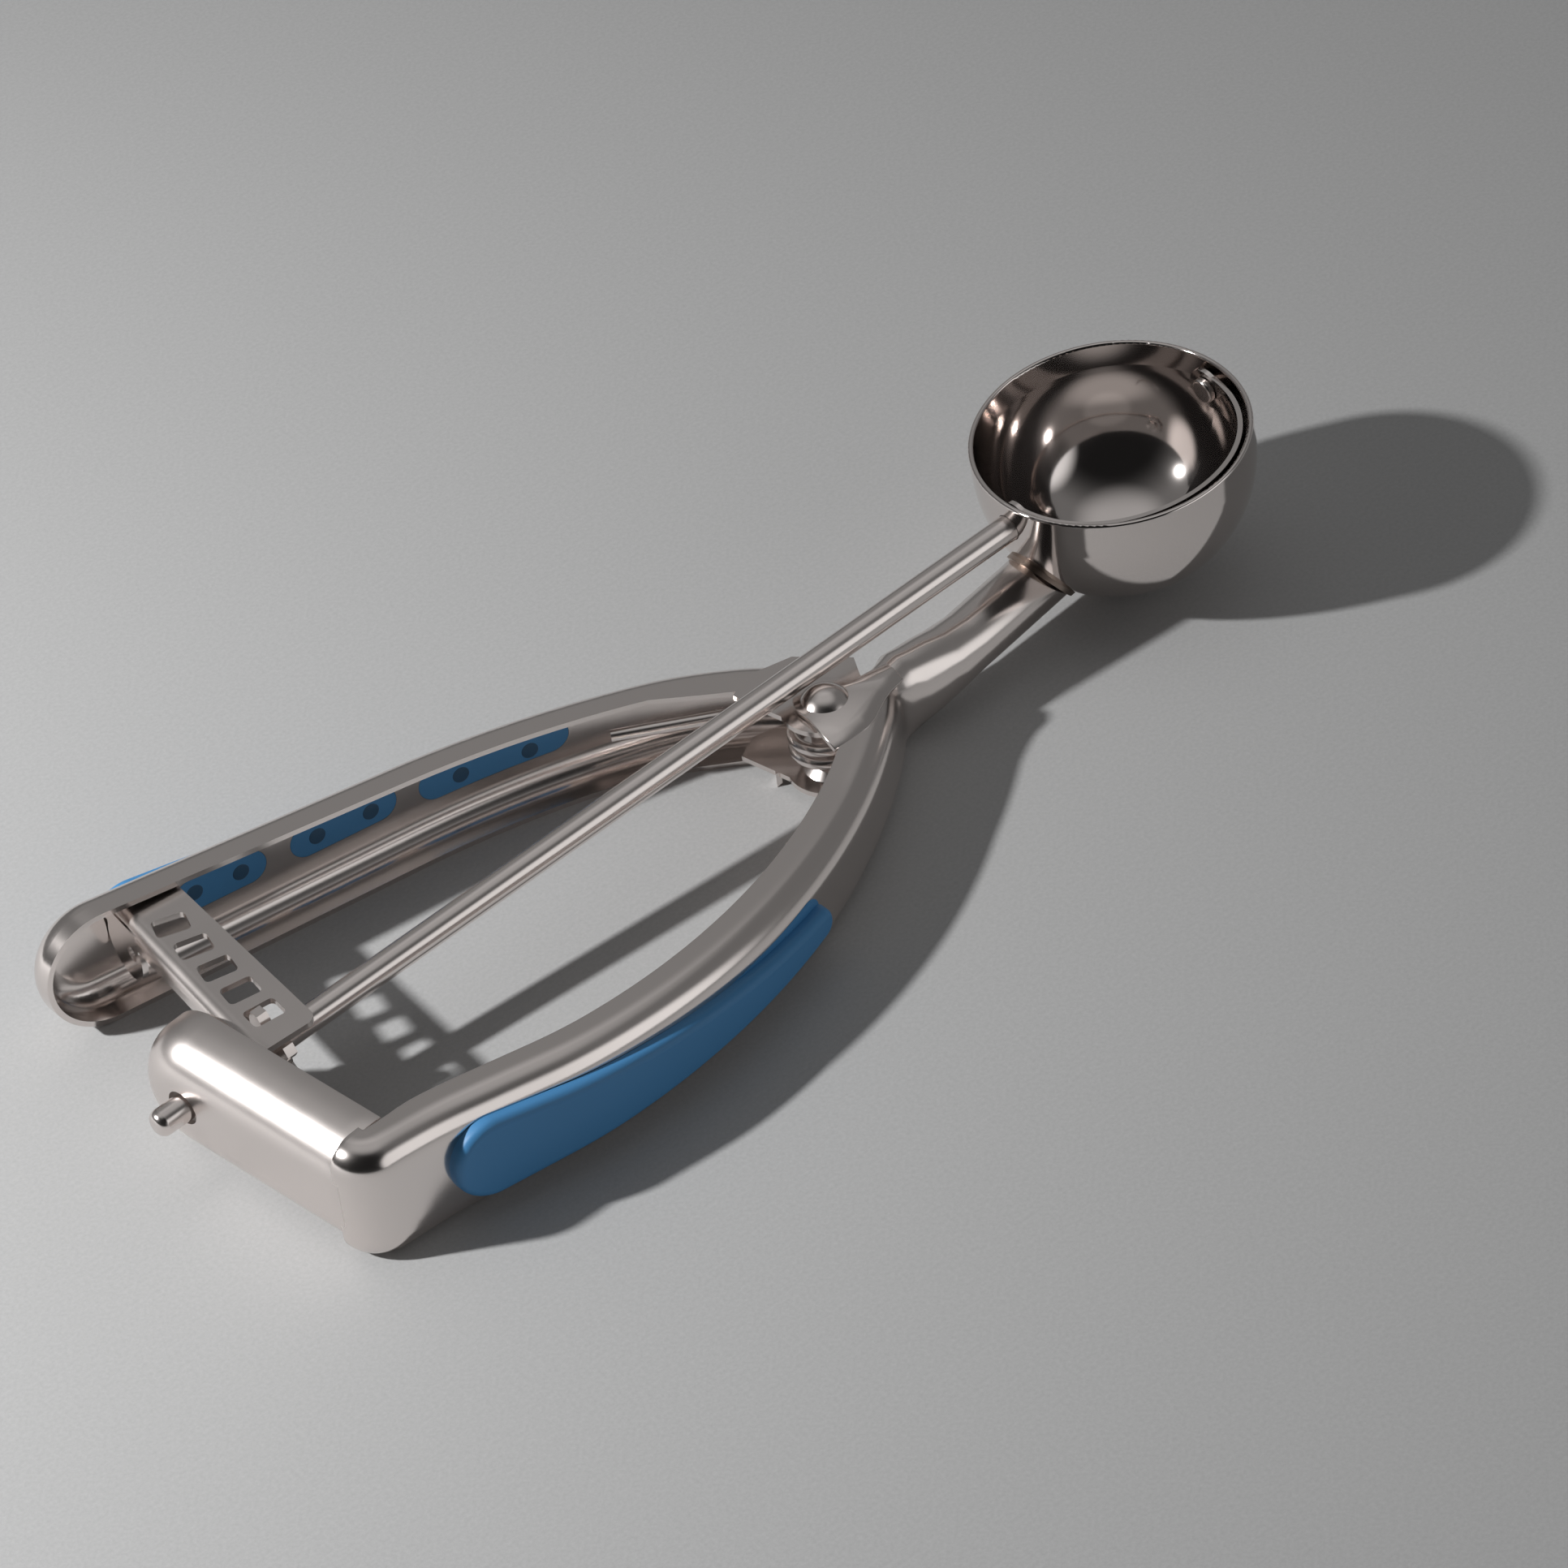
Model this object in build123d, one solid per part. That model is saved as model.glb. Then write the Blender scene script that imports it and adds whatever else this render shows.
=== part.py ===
"""Cookie scoop: two squeeze handles, a windowed rack, a pinion rod and a sweeping bowl scraper.

Millimetres. +X runs from the handles to the bowl, +Y is the side of the moving handle and +Z is
up, with the scoop lying on its side on a table at Z = 0. The pieces are laid out about the pivot
and moved together at the end, so that the origin is the middle of the underside.
"""
import os
from math import asin, atan, atan2, cos, degrees, hypot, pi, radians, sin, sqrt, tan

from build123d import *

# Sheet and handle sizes
SHEET = 0.8
CHANNEL_DEPTH = 6.3
REAR_HEIGHT = 18.6
FRONT_HEIGHT = 13.3
TAPER_START_X = -98.0
TAPER_END_X = -8.0
EDGE_ROUND = 4.0
TAPER_BEND = 80.0
SOLE = 0.0

# How far the cutting shapes reach past the scoop, and the tolerance for finding an edge
FRONT_REACH = 20.0
REAR_REACH = -130.0
SIDE_REACH = 80.0
TOUCH = 0.02

# Rod, bowl and neck
ROD_RADIUS = 1.95
ROD_Y = 3.7
ROD_REAR_X = -112.6
ROD_REAR_Z = 9.5
ROD_RISE_ANGLE = 3.75
BOWL_X = 57.6
BOWL_RADIUS = 20.0
BOWL_WALL = 0.8
BOWL_COLLAR = 4.1
NECK_RADIUS = 4.5
NECK_START = 9.6
NECK_LAP = 0.1

# Fits
RUNNING_FIT = 0.08
EAR_GAP = 0.1
SCRAPER_GAP = 0.5

# Pivot
RIVET_SHANK_RADIUS = 1.5
RIVET_HEAD_RADIUS = 3.3
RIVET_HEAD_HEIGHT = 1.5
EAR_CLEAR_RADIUS = 7.2
SPACER_RADIUS = 2.5

# Rack and pinion
PINION_TEETH = 6
WINDOW_COUNT = 5
WINDOW_PITCH = 5.75
WINDOW_LENGTH = 4.8
WINDOW_WIDTH = 3.7
RACK_SHEET = 0.9
PINION_X = -93.6
PINION_THICKNESS = 1.6
PITCH_RADIUS = PINION_TEETH * WINDOW_PITCH / (2 * pi)

# Grip pads
PAD_PROUD = 2.0
PAD_FIT = 0.05

SLOPE = radians(ROD_RISE_ANGLE)


def rod_height(x):
    """Height of the rod's axis above the table at a place along X."""
    return ROD_REAR_Z + (x - ROD_REAR_X) * tan(SLOPE)


def rod_plane(x):
    """Plane across the rod at x: its local Z runs along the rod towards the bowl."""
    return Plane(
        origin=(x, ROD_Y, rod_height(x)),
        x_dir=(0, 1, 0),
        z_dir=(cos(SLOPE), 0, sin(SLOPE)),
    )


BOWL_PLANE = Plane(
    origin=(BOWL_X, ROD_Y, rod_height(BOWL_X)),
    x_dir=(cos(SLOPE), 0, sin(SLOPE)),
    z_dir=(-sin(SLOPE), 0, cos(SLOPE)),
)

# Outer faces of the two channels in plan, from the pivot to the rear. Each run is a radius with a
# turn in degrees, or a straight with a length. Both are drawn on the +Y side.
FIXED_START = (9.0, 5.4)
FIXED_HEADING = 138.0
FIXED_RUNS = [("arc", 115, 12), ("arc", 108, 30), ("arc", 70, 8), ("line", 12), ("arc", 60, -7), ("line", 5.4)]
FIXED_CORNER = [("arc", 6, 81.6), ("line", 3.0)]
MOVING_START = (3.5, 11.0)
MOVING_HEADING = 130.0
MOVING_RUNS = [("arc", 45, 28), ("arc", 150, 14.3), ("line", 59)]


def trace(start, heading, runs, inset=0.0):
    """Edges of a run of arcs and straights, moved to its left by inset."""
    x, y = start
    angle = radians(heading)
    edges = []

    def place(px, py, a):
        return Vector(px - inset * sin(a), py + inset * cos(a), 0)

    here = place(x, y, angle)
    for run in runs:
        if run[0] == "line":
            x, y = x + run[1] * cos(angle), y + run[1] * sin(angle)
            there = place(x, y, angle)
            edges.append(Line(here, there))
        else:
            radius, turn = run[1], radians(run[2])
            side = 1 if turn > 0 else -1
            cx, cy = x - side * radius * sin(angle), y + side * radius * cos(angle)
            middle_angle, end_angle = angle + turn / 2, angle + turn
            mx, my = cx + side * radius * sin(middle_angle), cy - side * radius * cos(middle_angle)
            x, y = cx + side * radius * sin(end_angle), cy - side * radius * cos(end_angle)
            middle = place(mx, my, middle_angle)
            there = place(x, y, end_angle)
            edges.append(ThreePointArc(here, middle, there))
            angle = end_angle
        here = there
    return edges


def ends(edges):
    return edges[0] @ 0, edges[-1] @ 1


def closed_face(edges, corners):
    """Face bounded by edges laid end to end and then a chain of corners back to the start."""
    first, last = ends(edges)
    points = [last, *[Vector(*c) for c in corners], first]
    sides = [Line(a, b) for a, b in zip(points, points[1:])]
    return make_face(Curve() + [*edges, *sides])


def side_view(inset, rounded_rear):
    """Prism of a channel seen from the side: flat sole, top falling to the front, square or round rear."""
    slope = atan((REAR_HEIGHT - FRONT_HEIGHT) / (TAPER_END_X - TAPER_START_X))
    radius = (REAR_HEIGHT - SOLE) / 2
    front = [(TAPER_END_X, FRONT_HEIGHT), (FRONT_REACH, FRONT_HEIGHT), (FRONT_REACH, SOLE)]
    with BuildSketch(Plane.XZ) as side:
        with BuildLine():
            if rounded_rear:
                touch = (TAPER_START_X + radius * sin(slope), SOLE + radius + radius * cos(slope))
                Polyline(touch, *front, (TAPER_START_X, SOLE))
                ThreePointArc((TAPER_START_X, SOLE), (TAPER_START_X - radius, SOLE + radius), touch)
            else:
                rear = [(REAR_REACH, SOLE), (REAR_REACH, REAR_HEIGHT), (TAPER_START_X, REAR_HEIGHT)]
                Polyline(*rear, *front, close=True)
        make_face()
        bends = [v for v in vertices() if abs(v.X - TAPER_END_X) < TOUCH]
        bends += [v for v in vertices() if abs(v.X - TAPER_START_X) < TOUCH and not rounded_rear]
        fillet([v for v in bends if v.Y > REAR_HEIGHT / 2], TAPER_BEND)
        if inset:
            offset(amount=-inset, kind=Kind.INTERSECTION)
    return extrude(side.sketch, SIDE_REACH, both=True)


def lies_on(edge, wall):
    """Whether an edge, seen from above, lies on a wall's plan line."""
    points = [edge @ share for share in (0, 0.5, 1)]
    return max(wall.distance_to(Vertex(p.X, p.Y, 0)) for p in points) < TOUCH


def channel_block(face, wall_edges, inset, rounded_rear, round_radius):
    """Solid of a channel's plan within its side view, with the edges of its web rounded."""
    block = (extrude(face, REAR_HEIGHT + 2) & side_view(inset, rounded_rear)).solids()[0]
    wall = Wire(wall_edges)
    uprights = [e for e in block.edges().filter_by(GeomType.LINE) if abs((e % 0.5).Z) > 0.9]
    rims = [e for e in block.edges() if lies_on(e, wall) and e not in uprights]
    return block.fillet(round_radius, rims)


def disc(radius, low, high, centre=(0, 0)):
    return Pos(centre[0], centre[1], low) * Cylinder(
        radius, high - low, align=(Align.CENTER, Align.CENTER, Align.MIN)
    )


def plate(points, low, high):
    return Pos(0, 0, low) * extrude(make_face(Polyline(*points, close=True)), high - low)


def ring_piece(inner, outer, low, high, points):
    """Part of a ring, kept inside a plan outline."""
    return (disc(outer, low, high) - disc(inner, low, high)) & plate(points, low, high)


# Levels of the stacked ears, bottom to top
FIXED_LOW_EAR = (0.7, 0.7 + SHEET)
MOVING_LOW_EAR = (FIXED_LOW_EAR[1] + EAR_GAP, FIXED_LOW_EAR[1] + EAR_GAP + SHEET)
MOVING_TOP_EAR = (FRONT_HEIGHT - SHEET, FRONT_HEIGHT)
FIXED_TOP_EAR = (FRONT_HEIGHT + EAR_GAP, FRONT_HEIGHT + EAR_GAP + SHEET)


def mirrored(shape):
    return mirror(shape, about=Plane.XZ)


def pad_profile(front_x, rear_x, inset=0.0):
    """Grip pad seen from the side: tall and round at the rear, drawn to a narrow tip in front."""
    rear_low, rear_high = 3.2 + inset, 15.4 - inset
    tip_low, tip_high = 4.6 + inset, 9.0 - inset
    rear_round = (rear_high - rear_low) / 2
    tip_round = (tip_high - tip_low) / 2
    rear = (rear_x + rear_round + inset, (rear_low + rear_high) / 2)
    tip = (front_x - tip_round - inset, (tip_low + tip_high) / 2)
    with BuildPart() as prism:
        with BuildSketch(Plane.XZ):
            with Locations(rear):
                Circle(rear_round)
            with Locations(tip):
                Circle(tip_round)
            make_hull()
        extrude(amount=-60)
    return prism.part


SLOT_HEIGHT = 5.4


def slot_prism(front_x, rear_x, z, height):
    """Long round-ended slot seen from the side, cut or filled along Y."""
    with BuildPart() as prism:
        with BuildSketch(Plane.XZ):
            with Locations(((front_x + rear_x) / 2, z)):
                SlotOverall(front_x - rear_x, height)
        extrude(amount=-60)
    return prism.part


PAD_SLOTS = [(-70.3, -84.5, 9.4), (-50.0, -66.6, 9.2), (-24.4, -46.6, 8.4)]


def pad_slots(shrink=0.0):
    return [slot_prism(f - shrink, r + shrink, z, SLOT_HEIGHT - 2 * shrink) for f, r, z in PAD_SLOTS]


def grip_pad(start, heading, runs, front_x, rear_x):
    """Moulded pad on the outer face of a channel, with plugs that fill the slots in the web."""
    base = closed_face(
        trace(start, heading, runs),
        [tuple(p) for p in reversed([e @ 1 for e in trace(start, heading, runs, -PAD_PROUD)])]
        + [tuple(trace(start, heading, runs, -PAD_PROUD)[0] @ 0)],
    )
    outer = trace(start, heading, runs, -PAD_PROUD)
    inner = trace(start, heading, runs)
    joints = [Line(inner[0] @ 0, outer[0] @ 0), Line(inner[-1] @ 1, outer[-1] @ 1)]
    base = make_face(Curve() + [*inner, *outer, *joints])
    body = (extrude(base, REAR_HEIGHT) & pad_profile(front_x, rear_x)).solids()[0]
    shell = Wire(outer)
    rims = [
        e
        for e in body.edges()
        if all(shell.distance_to(Vertex((e @ t).X, (e @ t).Y, 0)) < 0.02 for t in (0.1, 0.5, 0.9))
    ]
    body = body.fillet(1.2, rims)
    web_inner = trace(start, heading, runs, SHEET)
    joints = [Line(inner[0] @ 0, web_inner[0] @ 0), Line(inner[-1] @ 1, web_inner[-1] @ 1)]
    web = extrude(make_face(Curve() + [*inner, *web_inner, *joints]), REAR_HEIGHT)
    for plug in pad_slots(PAD_FIT):
        body += web & plug
    return body


def build_channel(start, heading, runs, corner, extra_corners, rounded_rear):
    """Pressed U channel with its web outwards: an outer block less its hollow."""
    outer = trace(start, heading, runs + corner)
    inner = trace(start, heading, runs, CHANNEL_DEPTH)
    inner_back = [tuple(e @ 0) for e in reversed(inner)]
    face = make_face(
        Curve()
        + outer
        + [Line(outer[-1] @ 1, inner[-1] @ 1)]
        + inner[1:]
        + chain(inner[1] @ 0, extra_corners, outer[0] @ 0)
    )
    block = channel_block(face, outer, 0, rounded_rear, EDGE_ROUND)
    hollow_edges = trace(start, heading, runs + corner, SHEET)
    far = [(-112, -40, 0), (9.0, -40, 0)] if rounded_rear else [(-101.5, 0, 0), (-101.5, -20, 0), (9.5, -20, 0)]
    hollow_face = closed_face(hollow_edges, far)
    hollow = channel_block(hollow_face, hollow_edges, SHEET, rounded_rear, EDGE_ROUND - SHEET)
    return block, hollow, inner_back


def chain(first, corners, last):
    points = [first, *[Vector(*c) for c in corners], last]
    return [Line(a, b) for a, b in zip(points, points[1:])]


def neck_sections(inset):
    """Cross sections of the neck: a rounded box at the channel that draws in to a round tube."""
    round_corner = NECK_RADIUS - 0.02
    sections = [
        (NECK_START, -0.6, FRONT_HEIGHT / 2, 10.4, FRONT_HEIGHT, EDGE_ROUND),
        (17.0, 0.5, 7.0, 9.6, 10.6, 4.5),
        (26.0, 1.2, 7.3, 2 * NECK_RADIUS, 2 * NECK_RADIUS, round_corner),
        (48.0, 4.4, 8.4, 2 * NECK_RADIUS, 2 * NECK_RADIUS, round_corner),
    ]
    faces = []
    for x, y, z, width, height, corner in sections:
        place = Plane(origin=(x, y, z), x_dir=(0, 1, 0), z_dir=(1, 0, 0))
        faces.append(place * RectangleRounded(width - 2 * inset, height - 2 * inset, corner - inset))
    return faces


def neck_tube():
    """Tube of sheet from the channel to the bowl's skin."""
    tube = loft(neck_sections(0)) - loft(neck_sections(SHEET))
    return tube - BOWL_PLANE.location * Sphere(BOWL_RADIUS)


def fixed_handle_part():
    corners = [(-4.9, 6.4), (-4.2, 3.0), (4.8, 0.7), (7.9, -1.0), (10.6, -3.6), (12.5, -3.6), (12.5, 4.2)]
    block, hollow, _ = build_channel(
        FIXED_START, FIXED_HEADING, FIXED_RUNS, FIXED_CORNER, corners, rounded_rear=False
    )
    block, hollow = mirrored(block), mirrored(hollow)
    block -= Pos(NECK_START + NECK_LAP, 0, 0) * Box(20, 30, 60, align=(Align.MIN, Align.CENTER, Align.CENTER))
    mouth = extrude(neck_sections(SHEET)[0], 1.5, both=True)
    handle = block - hollow - mouth + neck_tube()
    handle -= disc(EAR_CLEAR_RADIUS, -1, FRONT_HEIGHT + 1)
    fixed_side = [(-5.0, -6.6), (-9, -12), (12, -12), (12, 0.4), (7.0, 0.4), (0, -2)]
    riser_low = ring_piece(EAR_CLEAR_RADIUS, EAR_CLEAR_RADIUS + SHEET, 0, FIXED_LOW_EAR[1], fixed_side)
    riser_top = ring_piece(
        EAR_CLEAR_RADIUS, EAR_CLEAR_RADIUS + SHEET, FRONT_HEIGHT - SHEET, FIXED_TOP_EAR[1], fixed_side
    )
    ear_outline = [(-4.1, 0.0), (-4.9, -6.3), (0, -7.6), (5.6, -5.2), (7.6, -1.5), (7.5, 0.4), (2.9, 2.9)]
    for level, riser in ((FIXED_LOW_EAR, riser_low), (FIXED_TOP_EAR, riser_top)):
        ear = plate(ear_outline, *level) + disc(4.1, *level)
        ear += ring_piece(5.0, EAR_CLEAR_RADIUS + SHEET, *level, fixed_side)
        handle += riser + ear
    handle -= disc(RIVET_SHANK_RADIUS, -1, 20)
    seam_hole = Pos(12.2, 3.0, 13.0) * Rot(0, 0, 35) * extrude(SlotOverall(3.0, 1.3), 6, both=True)
    handle -= seam_hole & plate([(8, -2), (20, -2), (20, 8), (8, 8)], 8.5, 20)
    for slot in pad_slots():
        handle -= mirrored(slot) & plate([(-90, -50), (-20, -50), (-20, -22), (-90, -22)], -1, 25)
    return handle


def moving_handle_part():
    corners = [(-1.3, 6.95), (2.0, 9.5)]
    block, hollow, _ = build_channel(
        MOVING_START, MOVING_HEADING, MOVING_RUNS, [], corners, rounded_rear=True
    )
    handle = block - hollow
    handle -= disc(EAR_CLEAR_RADIUS, -1, MOVING_LOW_EAR[0])
    moving_side = [(-9.5, 4.5), (-12, 14), (2.5, 12), (9.2, 4.4), (4.5, 3.5), (-2, 3.5)]
    handle += ring_piece(EAR_CLEAR_RADIUS, EAR_CLEAR_RADIUS + SHEET, 0, MOVING_LOW_EAR[1], moving_side)
    tongue = [(-6.0, 2.2), (-7.6, 10.5), (-4.0, 12.5), (3.3, 10.9), (9.0, 4.4), (7.3, 1.2), (5.0, -4.0)]
    for level in (MOVING_LOW_EAR, MOVING_TOP_EAR):
        ear = disc(6.4, *level) + plate(tongue, *level)
        handle += ear
    handle -= disc(RIVET_SHANK_RADIUS + RUNNING_FIT, -1, 20)
    for slot in pad_slots():
        handle -= slot & plate([(-90, 22), (-20, 22), (-20, 50), (-90, 50)], -1, 25)
    return handle, hollow


# Housing frame: x towards the bowl, y along the housing away from the fixed handle
HOUSING_TILT = atan(0.129)
HOUSING_CORNER = (-95.3, -25.1)
HOUSING_DEPTH = 8.5
HOUSING_END = 40.6
HOUSING_FIT = 0.2


def gear_housing_part():
    place = Pos(*HOUSING_CORNER, 0) * Rot(0, 0, degrees(HOUSING_TILT))
    low, high = SHEET, REAR_HEIGHT - SHEET - HOUSING_FIT

    def trough(inset, round_radius, start, front):
        bottom, top = low + inset, high - inset
        nose = (top - bottom) / 2
        end = HOUSING_END - inset
        with BuildPart() as solid:
            with BuildSketch(Plane.YZ):
                with BuildLine():
                    Polyline((end - nose, bottom), (start, bottom), (start, top), (end - nose, top))
                    ThreePointArc((end - nose, top), (end, (top + bottom) / 2), (end - nose, bottom))
                make_face()
            extrude(amount=-(HOUSING_DEPTH - inset))
            if front > 0:
                extrude(faces().sort_by(Axis.X)[-1], amount=front)
            rear_rims = faces().sort_by(Axis.X)[0].edges()
            keep = [e for e in rear_rims if (e @ 0.5).Y > start + 0.01]
            fillet(keep, round_radius)
        return solid.part

    body = trough(0, 4.6, 0.0, 0)
    hollow = trough(SHEET, 3.8, -1.0, 2.0)
    housing = place * (body - hollow)
    hole = rod_plane(ROD_REAR_X + 1.0).location * Cylinder(
        ROD_RADIUS + 0.25, 9, align=(Align.CENTER, Align.CENTER, Align.MIN)
    )
    return housing - hole


def drive_rod_part():
    start = rod_plane(ROD_REAR_X)
    neck_in = BOWL_RADIUS - 1.1
    length = (BOWL_X - ROD_REAR_X) / cos(SLOPE) - neck_in
    rod = Cylinder(ROD_RADIUS, length, align=(Align.CENTER, Align.CENTER, Align.MIN))
    rod = rod.fillet(1.3, [rod.edges().sort_by(Axis.Z)[0]])
    spigot_end = length + neck_in - (BOWL_RADIUS - BOWL_WALL - SCRAPER_GAP - 0.7 - 0.12)
    spigot = Pos(0, 0, length) * Cylinder(
        1.2, spigot_end - length, align=(Align.CENTER, Align.CENTER, Align.MIN)
    )
    head = Pos(0, 0, spigot_end) * Cylinder(1.9, 0.9, align=(Align.CENTER, Align.CENTER, Align.MIN))
    head = head.fillet(0.5, [head.edges().sort_by(Axis.Z)[-1]])
    return start.location * (rod + spigot + head)


def pinion_part():
    with BuildPart() as gear:
        with BuildSketch():
            Circle(4.2)
            tooth = [(-1.75, 3.4), (1.75, 3.4), (1.35, PITCH_RADIUS), (0.75, PITCH_RADIUS + 1.25)]
            tooth += [(-0.75, PITCH_RADIUS + 1.25), (-1.35, PITCH_RADIUS)]
            for index in range(PINION_TEETH):
                with Locations(Rot(0, 0, index * 360 / PINION_TEETH)):
                    Polygon(*tooth, align=None)
            Circle(ROD_RADIUS, mode=Mode.SUBTRACT)
        extrude(amount=PINION_THICKNESS / 2, both=True)
    return rod_plane(PINION_X).location * gear.part


# Rack outline in plan: front edge, rear skirt line and the row of windows
RACK_FRONT = [(-88.9, -2.2), (-85.9, 33.5)]
RACK_REAR = [(-99.5, -2.2), (-95.4, 31.0)]
WINDOW_ROW = [(-93.2, 3.7), (-91.4, 26.7)]
RACK_SKIRT = 3.8
RACK_Z = rod_height(-93.4) + PITCH_RADIUS


def rack_part(handle_hollow):
    low, high = RACK_Z - RACK_SHEET / 2, RACK_Z + RACK_SHEET / 2
    tilt = atan2(RACK_REAR[1][0] - RACK_REAR[0][0], RACK_REAR[1][1] - RACK_REAR[0][1])
    frame = Pos(*RACK_REAR[0], 0) * Rot(0, 0, -degrees(tilt))
    long_run = 48.0
    front_offset = 10.6
    with BuildPart() as sheet:
        with BuildSketch(Plane.XZ):
            with BuildLine():
                Polyline((front_offset + 4, high), (0, high), (0, high - RACK_SKIRT), (RACK_SHEET, high - RACK_SKIRT),
                         (RACK_SHEET, low), (front_offset + 4, low), close=True)
            corner_faces = make_face()
        extrude(amount=-long_run)
        bend = [e for e in edges().filter_by(Axis.Y) if abs((e @ 0).Z - high) < 0.01 and (e @ 0).X < 0.01]
        fillet(bend, 2.2)
        inner = [e for e in edges().filter_by(Axis.Y)
                 if abs((e @ 0).Z - low) < 0.01 and abs((e @ 0).X - RACK_SHEET) < 0.01]
        fillet(inner, 1.3)
    rack = frame * sheet.part
    outline = [RACK_FRONT[0], (-85.0, 44.0), (-102.0, 44.0), (-102.0, -2.2)]
    cut = extrude(make_face(Polyline(*outline, close=True)), 25)
    round_corner = [e for e in cut.edges().filter_by(Axis.Z)
                    if hypot((e @ 0).X - RACK_FRONT[0][0], (e @ 0).Y - RACK_FRONT[0][1]) < 0.1]
    cut = cut.fillet(1.8, round_corner)
    rack = rack & cut
    tab_place = frame * Pos(0, 36.2, 10.4) * Rot(0, 90, 0)
    tab = Cylinder(4.6, RACK_SHEET, align=(Align.CENTER, Align.CENTER, Align.MIN))
    bridge = Pos(-2.6, 0, 0) * Box(5.2, 8.4, RACK_SHEET, align=(Align.CENTER, Align.CENTER, Align.MIN))
    rack += tab_place * (tab + bridge)
    rack -= tab_place * Pos(-0.6, -2.0, 0) * Cylinder(1.2, 4)
    for index in range(WINDOW_COUNT):
        share = index / (WINDOW_COUNT - 1)
        x = WINDOW_ROW[0][0] + share * (WINDOW_ROW[1][0] - WINDOW_ROW[0][0])
        y = WINDOW_ROW[0][1] + share * (WINDOW_ROW[1][1] - WINDOW_ROW[0][1])
        turn = -degrees(atan2(y, -x)) - 3.0
        window = extrude(RectangleRounded(WINDOW_LENGTH, WINDOW_WIDTH, 0.7), 4, both=True)
        rack -= Pos(x, y, RACK_Z) * Rot(0, 0, turn) * window
    return rack & handle_hollow


def rack_weld_part(rack, handle):
    """Bead along the joint between the rack's end and the channel's web."""
    edges = trace(MOVING_START, MOVING_HEADING, MOVING_RUNS, SHEET + 0.5)
    line = edges[-1]
    start, end = line @ 0.66, line @ 0.78
    direction = (end - start).normalized()
    place = Plane(origin=(start.X, start.Y, RACK_Z - RACK_SHEET / 2), z_dir=direction)
    bead = place.location * Cylinder(
        0.9, (end - start).length, align=(Align.CENTER, Align.CENTER, Align.MIN)
    )
    bead = bead.fillet(0.6, bead.edges())
    return (bead - rack - handle).solids().sort_by(SortBy.VOLUME)[-1]


def bowl_part():
    inner_radius = BOWL_RADIUS - BOWL_WALL
    with BuildPart() as bowl:
        with BuildSketch(Plane.XZ):
            with BuildLine():
                CenterArc((0, 0), BOWL_RADIUS, -90, 90)
                Polyline((BOWL_RADIUS, 0), (BOWL_RADIUS, BOWL_COLLAR), (inner_radius, BOWL_COLLAR), (inner_radius, 0))
                CenterArc((0, 0), inner_radius, -90, 90)
                Line((0, -BOWL_RADIUS), (0, -inner_radius))
            make_face()
        revolve(axis=Axis.Z)
        rim = edges().filter_by(GeomType.CIRCLE).group_by(Axis.Z)[-1]
        fillet(rim, BOWL_WALL / 2 - 0.05)
    solid = bowl.part
    solid -= Pos(-BOWL_RADIUS, 0, 0) * Rot(0, 90, 0) * Cylinder(ROD_RADIUS + RUNNING_FIT, 6)
    solid -= Pos(BOWL_RADIUS, 0, 0) * Rot(0, 90, 0) * Cylinder(1.2, 6)
    return BOWL_PLANE.location * solid


def scraper_part():
    outer = BOWL_RADIUS - BOWL_WALL - SCRAPER_GAP
    inner = outer - 0.7
    shell = Sphere(outer) - Sphere(inner)
    with BuildPart() as prism:
        with BuildSketch(Plane.XZ):
            with BuildLine():
                ThreePointArc((-outer - 1, 2.6), (0, 3.6), (outer + 1, 2.6))
                Line((outer + 1, 2.6), (outer + 1, -2.6))
                ThreePointArc((outer + 1, -2.6), (0, -3.6), (-outer - 1, -2.6))
                Line((-outer - 1, -2.6), (-outer - 1, 2.6))
            make_face()
        extrude(amount=outer + 2)
    ears = Rot(0, 90, 0) * Cylinder(3.1, 3 * outer)
    blade = shell & (prism.part + ears)
    blade -= Rot(0, 90, 0) * Pos(0, 0, -outer) * Cylinder(1.2, 6)
    blade -= Rot(0, 90, 0) * Pos(0, 0, outer) * Cylinder(1.2 + RUNNING_FIT, 6)
    return BOWL_PLANE.location * blade


def blade_rivet_part():
    ear_inner = BOWL_RADIUS - BOWL_WALL - SCRAPER_GAP - 0.7
    shank = Pos(0, 0, ear_inner - 0.9) * Cylinder(
        1.2, BOWL_RADIUS - ear_inner + 0.9, align=(Align.CENTER, Align.CENTER, Align.MIN)
    )
    inner_head = Pos(0, 0, ear_inner - 1.15) * Cylinder(
        1.9, 0.9, align=(Align.CENTER, Align.CENTER, Align.MIN)
    )
    inner_head = inner_head.fillet(0.4, [inner_head.edges().sort_by(Axis.Z)[0]])
    outer_head = Pos(0, 0, BOWL_RADIUS) * Cylinder(
        2.4, 1.6, align=(Align.CENTER, Align.CENTER, Align.MIN)
    )
    outer_head = outer_head.fillet(1.2, [outer_head.edges().sort_by(Axis.Z)[-1]])
    return BOWL_PLANE.location * (Rot(0, 90, 0) * (shank + inner_head + outer_head))


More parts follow.
